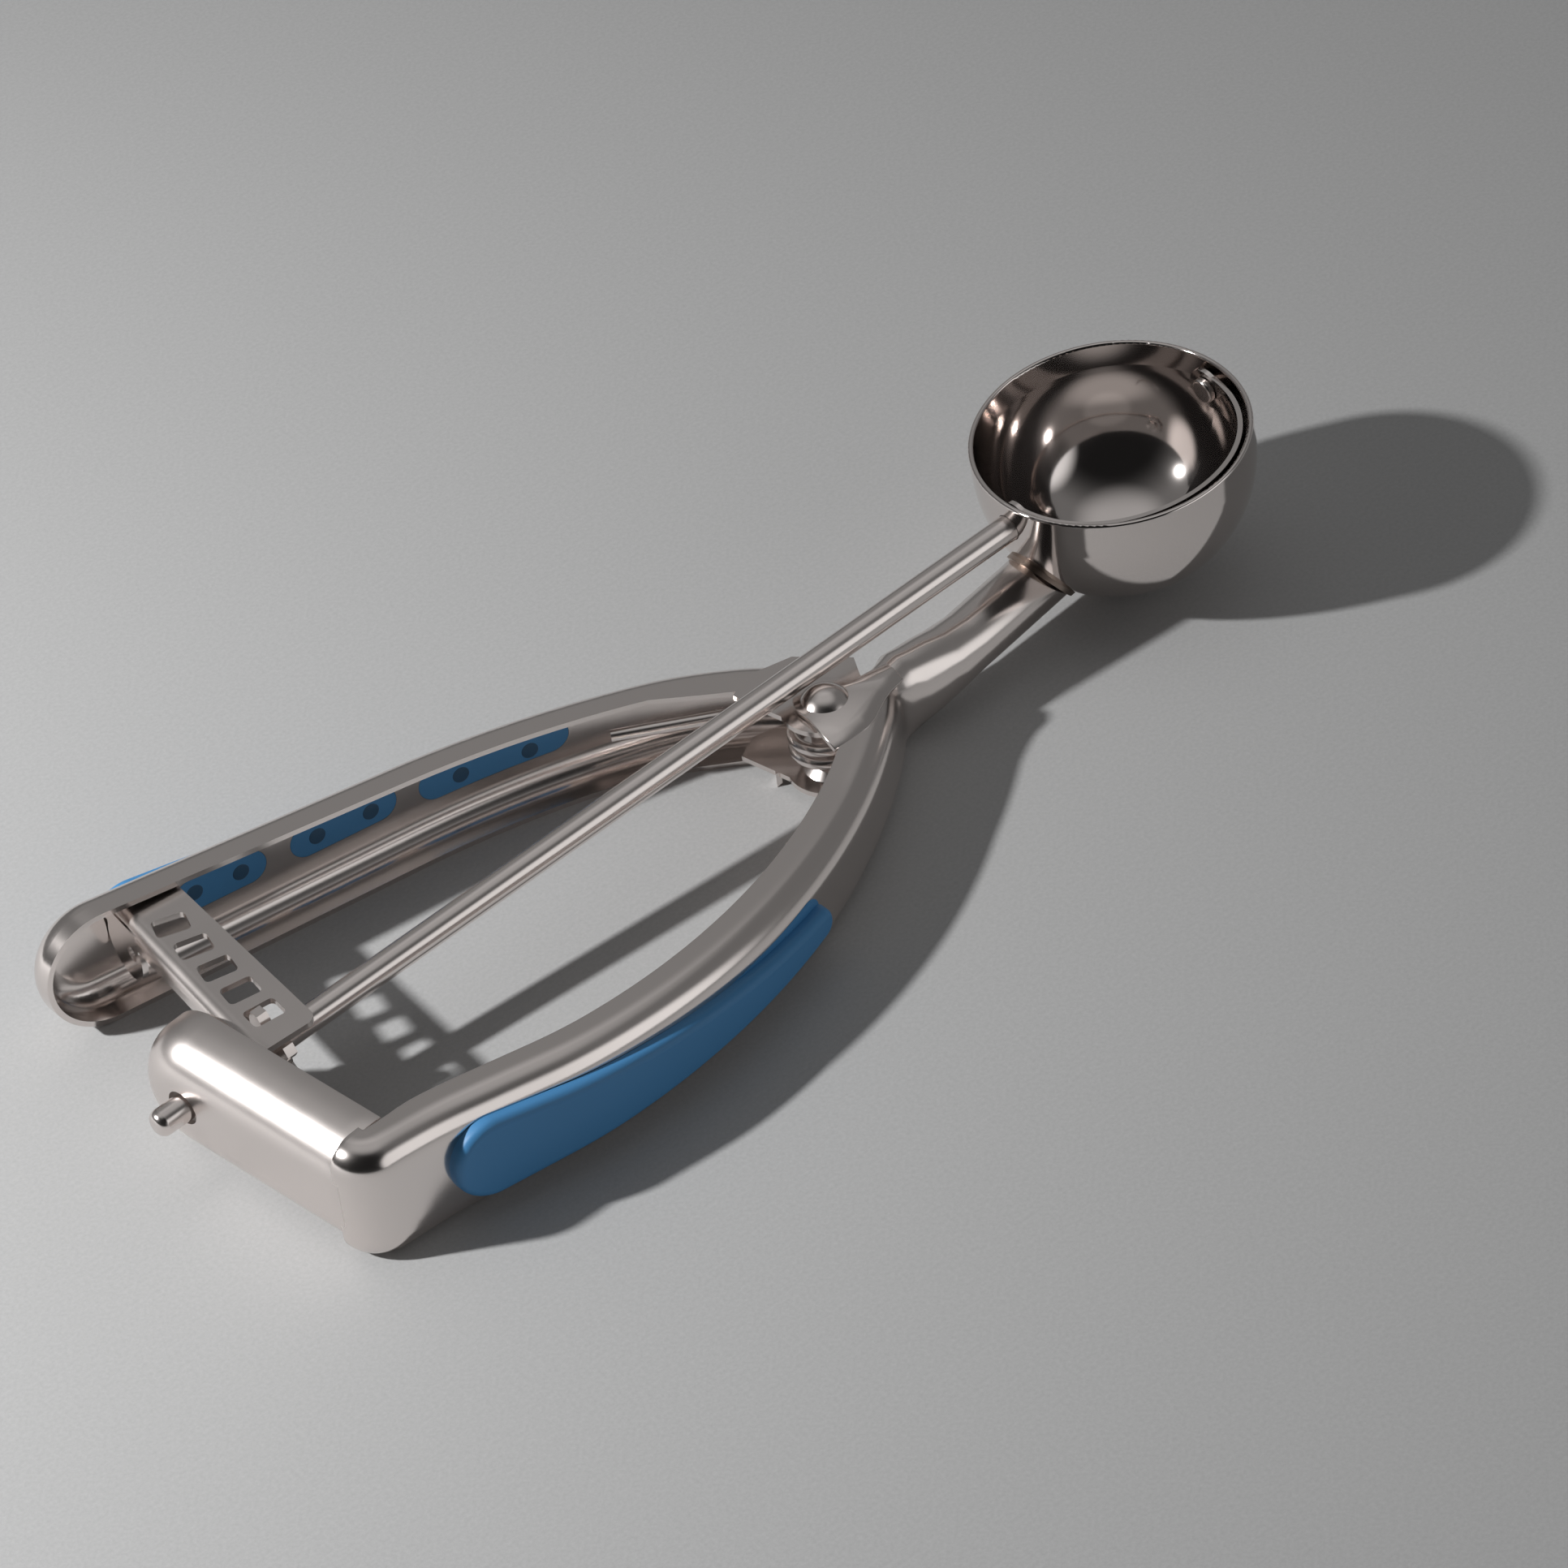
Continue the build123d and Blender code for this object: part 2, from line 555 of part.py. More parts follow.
def neck_weld_part(handle, bowl):
    """Bead round the tube where it meets the bowl."""
    axis_start, axis_end = Vector(26.0, 1.2, 7.3), Vector(48.0, 4.4, 8.4)
    place = Plane(origin=axis_start, z_dir=(axis_end - axis_start).normalized())
    sleeve = place.location * Cylinder(NECK_RADIUS + 0.55, 30, align=(Align.CENTER, Align.CENTER, Align.MIN))
    skin = BOWL_PLANE.location * Sphere(BOWL_RADIUS + 0.7)
    bead = (sleeve & skin) - BOWL_PLANE.location * Sphere(BOWL_RADIUS)
    bore = place.location * Cylinder(NECK_RADIUS - 0.4, 30, align=(Align.CENTER, Align.CENTER, Align.MIN))
    bead = bead - bore - handle
    return bead.solids().sort_by(SortBy.VOLUME)[-1]


def pivot_rivet_part():
    low_head = disc(RIVET_HEAD_RADIUS, 0.1, FIXED_LOW_EAR[0])
    shank = disc(RIVET_SHANK_RADIUS, FIXED_LOW_EAR[0], FIXED_TOP_EAR[1])
    top_head = disc(RIVET_HEAD_RADIUS, FIXED_TOP_EAR[1], FIXED_TOP_EAR[1] + RIVET_HEAD_HEIGHT)
    crown = (RIVET_HEAD_RADIUS**2 + RIVET_HEAD_HEIGHT**2) / (2 * RIVET_HEAD_HEIGHT)
    dome = Pos(0, 0, FIXED_TOP_EAR[1] + RIVET_HEAD_HEIGHT - crown) * Sphere(crown)
    low_head = low_head.fillet(0.25, [low_head.edges().sort_by(Axis.Z)[0]])
    return low_head + shank + (top_head & dome)


def pivot_spacer_part():
    low, high = MOVING_LOW_EAR[1] + 0.1, MOVING_TOP_EAR[0] - 0.1
    tube = disc(SPACER_RADIUS, low, high)
    flare = Pos(0, 0, low) * Cone(4.2, SPACER_RADIUS, 1.8, align=(Align.CENTER, Align.CENTER, Align.MIN))
    return tube + flare - disc(RIVET_SHANK_RADIUS, low - 1, high + 1)


# Torsion spring
SPRING_WIRE = 0.75
SPRING_RADIUS = 4.75
SPRING_TOP = 10.2
SPRING_BOTTOM = 5.2
SPRING_LEG_END = (-22.6, 24.7)
SPRING_LEG_END_FIXED = (-22.6, -22.6)
SPRING_FULL_TURNS = 2


def arc_between(first, corner, last):
    """Arc that leaves first towards corner and reaches last coming from corner."""
    middle = (first + last) / 2
    half_chord = (last - first).length / 2
    half_turn = atan2((corner - middle).length, half_chord)
    rise = half_chord * tan(half_turn / 2)
    peak = middle + (corner - middle).normalized() * rise
    return ThreePointArc(first, peak, last)


def biarc(p0, t0, p1, t1):
    """Two arcs that join two points with given directions."""
    v = p1 - p0
    t = t0 + t1
    denominator = 2 * (1 - t0.dot(t1))
    root = sqrt(v.dot(t) ** 2 + denominator * v.dot(v))
    d = (-v.dot(t) + root) / denominator
    c0, c1 = p0 + t0 * d, p1 - t1 * d
    join = (c0 + c1) / 2
    return [arc_between(p0, c0, join), arc_between(join, c1, p1)]


def tangent_angle(end):
    """Angle on the coil where a line from the leg's end touches it, going clockwise."""
    distance = hypot(*end)
    return atan2(end[1], end[0]) - (1 if end[1] > 0 else -1) * asin_safe(SPRING_RADIUS / distance)


def asin_safe(value):
    return pi / 2 - asin(value)


def torsion_spring_part():
    first_angle = tangent_angle(SPRING_LEG_END)
    last_angle = tangent_angle(SPRING_LEG_END_FIXED)
    sweep_angle = -(2 * pi * SPRING_FULL_TURNS + first_angle - last_angle)
    drop = (SPRING_BOTTOM - SPRING_TOP) / sweep_angle

    def coil(angle):
        return Vector(SPRING_RADIUS * cos(angle), SPRING_RADIUS * sin(angle),
                      SPRING_TOP + (angle - first_angle) * drop)

    def along(angle):
        level = angle in (angles[0], angles[-1])
        climb = 0 if level else -drop
        return Vector(SPRING_RADIUS * sin(angle), -SPRING_RADIUS * cos(angle), climb).normalized()

    steps = 4 * (SPRING_FULL_TURNS + 1)
    angles = [first_angle + sweep_angle * i / steps for i in range(steps + 1)]
    path = []
    leg_in = hypot(SPRING_LEG_END[0] - coil(first_angle).X, SPRING_LEG_END[1] - coil(first_angle).Y)
    leg_out = hypot(
        SPRING_LEG_END_FIXED[0] - coil(last_angle).X, SPRING_LEG_END_FIXED[1] - coil(last_angle).Y
    )
    start, finish = coil(first_angle), coil(angles[-1])
    path.append(Line(start - along(first_angle) * leg_in, start))
    for a, b in zip(angles, angles[1:]):
        path += biarc(coil(a), along(a), coil(b), along(b))
    path.append(Line(finish, finish + along(angles[-1]) * leg_out))
    wire = Wire(path)
    profile = Plane(origin=wire @ 0, z_dir=wire % 0) * Circle(SPRING_WIRE)
    spring = sweep(profile, path=wire)
    report_gap(path)
    return spring


def report_gap(path):
    """Least gap between parts of the wire that are more than a half turn apart."""
    points = []
    travelled = 0.0
    for edge in path:
        count = max(3, int(edge.length / 0.5))
        for i in range(count):
            points.append((travelled + edge.length * i / count, edge @ (i / count)))
        travelled += edge.length
    least = min(
        (q - p).length
        for i, (s, p) in enumerate(points)
        for t, q in points[i + 1:]
        if t - s > pi * SPRING_RADIUS
    )
    print("spring least gap to itself", round(least - 2 * SPRING_WIRE, 2), "length", round(travelled, 1))


def build_all():
    moving_handle, hollow = moving_handle_part()
    fixed_handle = fixed_handle_part()
    rack = rack_part(hollow)
    bowl = bowl_part()
    return {
        "bowl": bowl,
        "fixed_handle": fixed_handle,
        "neck_weld": neck_weld_part(fixed_handle, bowl),
        "gear_housing": gear_housing_part(),
        "pivot_rivet": pivot_rivet_part(),
        "pivot_spacer": pivot_spacer_part(),
        "torsion_spring": torsion_spring_part(),
        "fixed_grip_pad": mirrored(grip_pad(FIXED_START, FIXED_HEADING, FIXED_RUNS, -23.5, -91.0)),
        "blade_rivet": blade_rivet_part(),
        "moving_handle": moving_handle,
        "rack": rack,
        "rack_weld": rack_weld_part(rack, moving_handle),
        "moving_grip_pad": grip_pad(MOVING_START, MOVING_HEADING, MOVING_RUNS, -30.0, -96.0),
        "drive_rod": drive_rod_part(),
        "pinion": pinion_part(),
        "scraper_blade": scraper_part(),
    }


def main():
    os.makedirs("parts", exist_ok=True)
    parts = build_all()
    box = Compound(list(parts.values())).bounding_box()
    shift = Vector(-(box.min.X + box.max.X) / 2, -(box.min.Y + box.max.Y) / 2, -SOLE)
    print("shift", shift, "box", box.min, box.max)
    for name, shape in parts.items():
        placed = Pos(shift) * shape
        print(name, len(placed.solids()), round(placed.volume, 1), placed.is_valid)
        export_step(placed, f"parts/{name}.step")


main()
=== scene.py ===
# %% [markdown]
# A cookie scoop, dressed for its picture
#
# The scoop lies on its side on wide grey paper. Its polished steel is almost all reflection, so
# the lamp and what stands round the object matter as much as the metal itself. The solids come
# from the frame, the two moulded grips among them. This script gives each one its finish, draws
# the fixed handle, the housing and the spring more finely, and adds painted shade on the grip's
# plugs, the paper, the light and the camera, one step at a time.

# %% Load the frame
from math import acos, atan, atan2, cos, degrees, pi, radians, sin

import bmesh
import bpy
from mathutils import Matrix, Vector


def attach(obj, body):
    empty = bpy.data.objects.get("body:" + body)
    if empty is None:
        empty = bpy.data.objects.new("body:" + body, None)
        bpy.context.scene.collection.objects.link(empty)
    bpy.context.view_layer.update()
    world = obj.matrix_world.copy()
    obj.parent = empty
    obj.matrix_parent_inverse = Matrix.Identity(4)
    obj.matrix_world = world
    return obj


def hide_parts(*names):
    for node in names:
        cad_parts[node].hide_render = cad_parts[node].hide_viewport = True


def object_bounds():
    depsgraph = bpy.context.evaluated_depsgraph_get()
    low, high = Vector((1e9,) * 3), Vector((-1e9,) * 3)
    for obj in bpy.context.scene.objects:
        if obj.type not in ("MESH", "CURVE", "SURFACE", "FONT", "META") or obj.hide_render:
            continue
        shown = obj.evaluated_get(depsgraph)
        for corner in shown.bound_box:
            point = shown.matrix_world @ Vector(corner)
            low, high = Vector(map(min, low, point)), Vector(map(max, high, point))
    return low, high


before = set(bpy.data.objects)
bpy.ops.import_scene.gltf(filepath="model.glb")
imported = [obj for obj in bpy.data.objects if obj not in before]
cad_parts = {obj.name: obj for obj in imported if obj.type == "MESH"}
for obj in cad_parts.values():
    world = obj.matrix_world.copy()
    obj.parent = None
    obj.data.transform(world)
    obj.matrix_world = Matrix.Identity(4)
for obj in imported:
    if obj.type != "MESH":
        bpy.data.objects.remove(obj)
CAD_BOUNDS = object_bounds()
MM = 0.001
print("size in mm", [round((high - low) / MM, 1) for low, high in zip(*CAD_BOUNDS)])

# %% [markdown]
# The camera
#
# A long lens, far away, keeps the scoop's two ends nearly the same scale. The lens, the place
# and the two directions below were found by fitting the bowl's round rim and the straight rod.

# %% Camera
CAMERA_PLACE = Vector((-0.4010, -0.5773, 0.6031))
CAMERA_RIGHT = Vector((0.7560, -0.6463, -0.1037))
CAMERA_AHEAD = Vector((0.4421, 0.6210, -0.6473))
SENSOR_WIDTH_MM = 36.0
IMAGE_WIDTH_PX = 1932
FOCAL_PX = 8357.0
NEAREST, FARTHEST = 0.05, 20.0


def make_camera():
    data = bpy.data.cameras.new("studio_camera")
    data.sensor_width = SENSOR_WIDTH_MM
    data.lens = SENSOR_WIDTH_MM * FOCAL_PX / IMAGE_WIDTH_PX
    data.clip_start = NEAREST
    data.clip_end = FARTHEST
    ahead = CAMERA_AHEAD.normalized()
    right = (CAMERA_RIGHT - ahead * CAMERA_RIGHT.dot(ahead)).normalized()
    up = right.cross(ahead)
    camera = bpy.data.objects.new("studio_camera", data)
    turn = Matrix((right, up, -ahead)).transposed()
    camera.matrix_world = Matrix.Translation(CAMERA_PLACE) @ turn.to_4x4()
    bpy.context.collection.objects.link(camera)
    bpy.context.scene.camera = camera
    return camera


camera = make_camera()
bpy.context.scene.view_settings.view_transform = "Standard"
print("lens", round(camera.data.lens, 1), "mm")

# %% [markdown]
# Colours and shader nodes
#
# Colours are written as a designer reads them off a swatch, in sRGB hex. The renderer works
# with linear light, so one function turns them over. A second one adds a shader node. A
# pattern's scale is the number of its features in a metre, so a third one works it out from
# the real size of a feature.

# %% Colour and node helpers


def linear(hex_colour):
    """Linear RGBA of an sRGB hex colour, by the curve that defines sRGB."""
    parts = [int(hex_colour[i:i + 2], 16) / 255 for i in (1, 3, 5)]
    light = [p / 12.92 if p <= 0.04045 else ((p + 0.055) / 1.055) ** 2.4 for p in parts]
    return (*light, 1.0)


def add_node(tree, kind, settings=None, links=None):
    """Adds a node, sets its values and joins its inputs to other nodes' outputs."""
    node = tree.nodes.new(kind)
    for name, value in (settings or {}).items():
        if name in node.inputs.keys():
            node.inputs[name].default_value = value
        else:
            setattr(node, name, value)
    for name, source in (links or {}).items():
        tree.links.new(source, node.inputs[name])
    return node


def scale_of(size_mm):
    """Scale of a pattern whose features are this wide."""
    return 1000 / size_mm


def new_material(name):
    material = bpy.data.materials.new(name)
    material.use_nodes = True
    return material, material.node_tree, material.node_tree.nodes["Principled BSDF"]


print("mid grey in linear light", [round(v, 3) for v in linear("#808080")[:3]])

# %% [markdown]
# Polished stainless steel
#
# The bowl, handles and housing are pressed from stainless sheet and then tumbled and buffed.
# Buffing leaves a mirror with a faint haze of fine scratches and a slight orange-peel waviness,
# which breaks up long highlights. The waviness is about 6 mm from crest to crest, and smudges
# from handling, about 14 mm wide, make the sheen a little uneven. The real scratches are
# hundredths of a millimetre wide and are drawn ten times coarser so that they show. One
# function makes every steel here, because the finishes differ only in their roughness, in how
# high the waves and scratches stand, and in the way the scratches run.

# %% Polished stainless steel
WAVE_MM = 6.0
SCRATCH_MM = 0.25
SMUDGE_MM = 14.0
CLEAN_SHARE, SMUDGED_SHARE = 0.8, 1.25
STEEL_TINT = "#e8e0dc"
DRAWN_OUT = 0.05
EVERY_WAY = (1.0, 1.0, 1.0)
ALONG_X = (DRAWN_OUT, 1.0, 1.0)
ALONG_Y = (1.0, DRAWN_OUT, 1.0)


def polished_steel(name, roughness, wave_height, scratch_height, run=EVERY_WAY, colour=STEEL_TINT):
    """Steel of a roughness, with waves and scratches of heights in millimetres."""
    material, tree, shader = new_material(name)
    place = add_node(tree, "ShaderNodeTexCoord")
    waves = add_node(tree, "ShaderNodeTexNoise", {"Scale": scale_of(WAVE_MM), "Detail": 1.0},
                     {"Vector": place.outputs["Object"]})
    mapping = add_node(tree, "ShaderNodeMapping", {"Scale": run},
                       {"Vector": place.outputs["Object"]})
    scratches = add_node(tree, "ShaderNodeTexNoise",
                         {"Scale": scale_of(SCRATCH_MM), "Detail": 3.0},
                         {"Vector": mapping.outputs["Vector"]})
    smudges = add_node(tree, "ShaderNodeTexNoise",
                       {"Scale": scale_of(SMUDGE_MM), "Detail": 4.0, "Roughness": 0.6},
                       {"Vector": place.outputs["Object"]})
    rough = add_node(tree, "ShaderNodeMapRange",
                     {"To Min": roughness * CLEAN_SHARE, "To Max": roughness * SMUDGED_SHARE},
                     {"Value": smudges.outputs["Fac"]})
    wave_bump = add_node(tree, "ShaderNodeBump", {"Strength": 1.0, "Distance": wave_height * MM},
                         {"Height": waves.outputs["Fac"]})
    bump = add_node(tree, "ShaderNodeBump", {"Strength": 1.0, "Distance": scratch_height * MM},
                    {"Height": scratches.outputs["Fac"], "Normal": wave_bump.outputs["Normal"]})
    shader.inputs["Base Color"].default_value = linear(colour)
    shader.inputs["Metallic"].default_value = 1.0
    tree.links.new(rough.outputs["Result"], shader.inputs["Roughness"])
    tree.links.new(bump.outputs["Normal"], shader.inputs["Normal"])
    return material


print("scratches", scale_of(SCRATCH_MM), "and waves", round(scale_of(WAVE_MM)), "to a metre")

# %% [markdown]
# The steels of the scoop
#
# The deep-drawn bowl is polished to a mirror. The handles are buffed along their length, and the
# housing and the rack are brushed across it, which draws the scratches out. The rod is ground
# between wheels, the spring's wire is drawn through a die, and the welds keep the dull grey of
# their heat. Each finish gives its roughness, then the heights of its waves and its scratches in
# millimetres.

# %% Steel finishes
WELD_GREY = "#a89a90"
handle_steel = polished_steel("buffed_stainless_sheet", 0.17, 0.008, 0.0015, ALONG_X)
housing_steel = polished_steel("belt_brushed_stainless_sheet", 0.30, 0.006, 0.0030, ALONG_Y)
bowl_steel = polished_steel("mirror_polished_deep_drawn_steel", 0.075, 0.006, 0.0002)
rack_steel = polished_steel("satin_stainless_plate", 0.24, 0.006, 0.0010, ALONG_Y)
rod_steel = polished_steel("centreless_ground_rod", 0.20, 0.002, 0.0008, ALONG_X)
wire_steel = polished_steel("drawn_spring_wire", 0.22, 0.002, 0.0008)
weld_steel = polished_steel("heat_tinted_weld", 0.34, 0.030, 0.0030, colour=WELD_GREY)
steels = (handle_steel, housing_steel, bowl_steel, rack_steel, rod_steel, wire_steel, weld_steel)
print("steel finishes", [steel.name for steel in steels])

# %% [markdown]
# Moulded grip
#
# The two pads are moulded in a soft blue thermoplastic rubber. The fine spark texture of the
# mould gives it a dull sheen with no sharp reflection. The real grains are about a tenth of a
# millimetre wide and are drawn three times coarser so that they show.

# %% Moulded rubber
GRIP_BLUE = "#4383b6"
GRAIN_MM, GRAIN_DEPTH_MM, GRAIN_STRENGTH = 0.35, 0.01, 0.5
RUBBER_ROUGHNESS, RUBBER_IOR = 0.5, 1.5


def moulded_rubber(name, colour):
    material, tree, shader = new_material(name)
    place = add_node(tree, "ShaderNodeTexCoord")
    grain = add_node(tree, "ShaderNodeTexNoise", {"Scale": scale_of(GRAIN_MM), "Detail": 2.0},
                     {"Vector": place.outputs["Object"]})
    bump = add_node(tree, "ShaderNodeBump",
                    {"Strength": GRAIN_STRENGTH, "Distance": GRAIN_DEPTH_MM * MM},
                    {"Height": grain.outputs["Fac"]})
    shader.inputs["Base Color"].default_value = linear(colour)
    shader.inputs["Roughness"].default_value = RUBBER_ROUGHNESS
    shader.inputs["IOR"].default_value = RUBBER_IOR
    tree.links.new(bump.outputs["Normal"], shader.inputs["Normal"])
    return material


grip_rubber = moulded_rubber("moulded_thermoplastic_rubber", GRIP_BLUE)
print("grip finish", grip_rubber.name)

# %% [markdown]
# A finish for each solid
#
# Every solid of the frame takes one finish. The three that are drawn again further down take
# theirs as well, so that the scoop stays whole if a drawn piece is taken out.

# %% Give each solid its finish
FINISHES = {
    "bowl": bowl_steel, "neck_weld": weld_steel, "fixed_handle": handle_steel,
    "gear_housing": housing_steel, "pivot_rivet": rod_steel, "pivot_spacer": wire_steel,
    "torsion_spring": wire_steel, "fixed_grip_pad": grip_rubber, "blade_rivet": rod_steel,
    "moving_handle": handle_steel, "rack": rack_steel, "rack_weld": weld_steel,
    "moving_grip_pad": grip_rubber, "drive_rod": rod_steel, "pinion": rack_steel,
    "scraper_blade": bowl_steel,
}
for node, finish in FINISHES.items():
    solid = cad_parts[node]
    solid.data.materials.clear()
    solid.data.materials.append(finish)
print("finished", len(FINISHES), "solids")

# %% [markdown]
# Drawing in plan
#
# The fixed handle is a pressed channel whose outer face follows arcs and straights in plan. Its
# path is a start, a heading and a list of runs, walked in short steps. Sizes are written in
# millimetres from the pivot, and one function moves them into the frame in metres.

# %% Path walker
PIVOT_IN_FRAME = Vector((16.7052, -2.7018, 0.0))


def in_frame(x, y, z):
    return (Vector((x, y, z)) + PIVOT_IN_FRAME) * MM


def walk(start, heading, runs, step=2.0, turn_step=7.0):
    """Points, headings and distances along a path, in steps of millimetres or degrees."""
    x, y = start
    angle = radians(heading)
    travelled = 0.0
    stops = [(x, y, angle, travelled)]
    for kind, size, *turn in runs:
        swing = radians(turn[0]) if turn else 0.0
        length = abs(size * swing) if turn else size
        count = max(1, round(length / step), round(abs(degrees(swing)) / turn_step))
        for _ in range(count):
            chord = 2 * size * sin(abs(swing) / count / 2) if turn else size / count
            angle += swing / count / 2
            x, y = x + chord * cos(angle), y + chord * sin(angle)
            angle += swing / count / 2
            travelled += length / count
            stops.append((x, y, angle, travelled))
    return stops


def between(table, place):
    """Value at a place in a table of places and values, with soft changes between them."""
    if place <= table[0][0]:
        return table[0][1]
    for (a, low), (b, high) in zip(table, table[1:]):
        if place <= b:
            share = (place - a) / (b - a)
            return low + (high - low) * share * share * (3 - 2 * share)
    return table[-1][1]


print("pivot at", [round(v, 4) for v in in_frame(0, 0, 0)], "m in the frame")

# %% [markdown]
# Pieces of sheet
#
# Pressed sheet is the same thickness all over, so a piece is drawn as its outer skin alone and
# a solidify modifier thickens it inwards. A small bevel on the sharp edges stands for the
# tumbling that takes the burr off, and gives each rim the thin bright line of real steel.

# %% Mesh helpers
SHEET = 0.8
TUMBLED_EDGE, EDGE_SEGMENTS, EDGE_ANGLE = 0.12, 2, 40


def mesh_piece(name, points, faces, material, body, thickness=0.0, bevel=TUMBLED_EDGE,
               node=None, slot="polished_steel"):
    """A piece from points and faces, given a sheet's thickness and softened edges."""
    mesh = bpy.data.meshes.new(name)
    mesh.from_pydata(points, [], faces)
    mesh.validate()
    mesh.shade_smooth()
    piece = bpy.data.objects.new(name, mesh)
    bpy.context.collection.objects.link(piece)
    mesh.materials.append(material)
    if thickness:
        solidify = piece.modifiers.new("sheet", "SOLIDIFY")
        solidify.thickness = thickness * MM
        solidify.offset = -1.0
    if bevel:
        soften = piece.modifiers.new("soft_edges", "BEVEL")
        soften.width = bevel * MM
        soften.segments = EDGE_SEGMENTS
        soften.limit_method = "ANGLE"
        soften.angle_limit = radians(EDGE_ANGLE)
    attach(piece, body)
    if node:
        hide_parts(node)
    return piece


def ring_faces(rings, count, closed=False):
    """Quads between rings of equal count, the rings open or closed."""
    faces = []
    for r in range(rings - 1):
        for i in range(count if closed else count - 1):
            j = (i + 1) % count
            a, b = r * count, (r + 1) * count
            faces.append((a + i, a + j, b + j, b + i))
    return faces


print("sheet", SHEET, "mm thick, edges softened by", TUMBLED_EDGE, "mm")

# %% [markdown]
# The fixed handle
#
# The real piece is one pressing. Its rear is an open channel, and towards the bowl the same
# sheet is rolled shut into the round neck. So the mesh is a row of sections from the bowl to the
# rear corner: each is a C with large rounds, and along the neck it closes to an oval.

# %% Section shapes
POINTS_FLANGE, POINTS_ROUND, POINTS_WEB = 6, 9, 6
POINTS_SECTION = 2 * (POINTS_FLANGE + POINTS_ROUND) + POINTS_WEB + 1


def c_section(depth, height, low_round, top_round):
    """Inset and height of the points of a channel's section, from the lower rim up."""
    section = []
    for i in range(POINTS_FLANGE):
        section.append((depth + (low_round - depth) * i / POINTS_FLANGE, 0.0))
    for i in range(POINTS_ROUND):
        a = pi / 2 * i / POINTS_ROUND
        section.append((low_round * (1 - sin(a)), low_round * (1 - cos(a))))
    for i in range(POINTS_WEB):
        section.append((0.0, low_round + (height - low_round - top_round) * i / POINTS_WEB))
    for i in range(POINTS_ROUND):
        a = pi / 2 * i / POINTS_ROUND
        section.append((top_round * (1 - cos(a)), height - top_round * (1 - sin(a))))
    for i in range(POINTS_FLANGE + 1):
        section.append((top_round + (depth - top_round) * i / POINTS_FLANGE, height))
    return section


def oval_section(half_width, half_height, middle):
    """The same number of points round an oval, from its seam on the inner side and back."""
    section = []
    for i in range(POINTS_SECTION):
        a = 2 * pi * i / (POINTS_SECTION - 1)
        section.append((half_width * (1 + cos(a)), middle - half_height * sin(a)))
    return section


print("sections of", POINTS_SECTION, "points")

# %% [markdown]
# Sections in a row
#
# The neck's sections stand on its axis and the channel's on its path in plan. Along the path the
# flanges grow deeper, the sheet's upper edge drops towards the bowl, and the last stretch before
# the neck turns from the open C into the shut oval. At the bowl the first section is slid along
# the neck, so that each of its points ends inside the bowl's wall and no gap shows.

# %% Fixed handle
NECK_AXIS = [(48.0, 4.4, 8.4), (26.0, 1.2, 7.3), (21.5, 0.75, 7.1), (18.0, 0.55, 6.95),
             (15.0, 0.5, 6.8)]
NECK_HALF_WIDTHS = [(15.0, 4.65), (20.0, 4.7), (26.0, 4.5)]
NECK_HALF_HEIGHTS = [(15.0, 6.2), (26.0, 4.5)]
NECK_SHUT = [(6.5, 0.0), (15.5, 1.0)]
SHUT_HALF_WIDTH = NECK_HALF_WIDTHS[0][1]
FIXED_START, FIXED_HEADING = (13.5, 3.93), 173.0
FIXED_RUNS = [("line", 1.77), ("arc", 5, -35), ("arc", 115, 12), ("arc", 108, 30), ("arc", 70, 8),
              ("line", 12), ("arc", 60, -7), ("line", 5.4), ("arc", 6, 82.67), ("line", 0.6)]
FIXED_DEPTHS = [(0.0, 3.6), (5.0, 4.4), (10.0, 5.0), (16.0, 6.3), (112.0, 6.3), (119.0, 5.7)]
FLANGE_ROUND, SOLE_ROUND = 4.0, 3.6
TOP_HEIGHTS = [(-98.0, 18.6), (-8.0, 13.3)]
BOWL_CENTRE = Vector((57.6, 3.7, 20.656))
BOWL_RADIUS = 20.0


def top_height(x):
    """Height of the sheet's upper edge, straight from the rear to the front."""
    (rear, high), (front, low) = TOP_HEIGHTS
    return high + (low - high) * min(max((x - rear) / (front - rear), 0.0), 1.0)


def neck_sections():
    rings = []
    axis = [Vector(p) for p in NECK_AXIS]
    for index, here in enumerate(axis):
        ahead = axis[max(index - 1, 0)] - axis[min(index + 1, len(axis) - 1)]
        inward = Vector((-ahead.y, ahead.x, 0)).normalized()
        half_width = between(NECK_HALF_WIDTHS, here.x)
        outer = here - inward * half_width
        shape = oval_section(half_width, between(NECK_HALF_HEIGHTS, here.x), here.z)
        rings.append([(outer.x + inward.x * w, outer.y + inward.y * w, z) for w, z in shape])
    return rings


def channel_sections():
    rings = []
    for x, y, angle, travelled in walk(FIXED_START, FIXED_HEADING, FIXED_RUNS):
        inward = Vector((-sin(angle), -cos(angle)))
        depth = between(FIXED_DEPTHS, travelled)
        shut = between(NECK_SHUT, x)
        height = top_height(x)
        open_shape = c_section(depth, height, min(SOLE_ROUND, depth), min(FLANGE_ROUND, depth))
        round_shape = oval_section(SHUT_HALF_WIDTH, height / 2, height / 2)
        shape = [(w + (v - w) * shut, z + (u - z) * shut)
                 for (w, z), (v, u) in zip(open_shape, round_shape)]
        rings.append([(x + inward.x * w, -y + inward.y * w, z) for w, z in shape])
    return rings


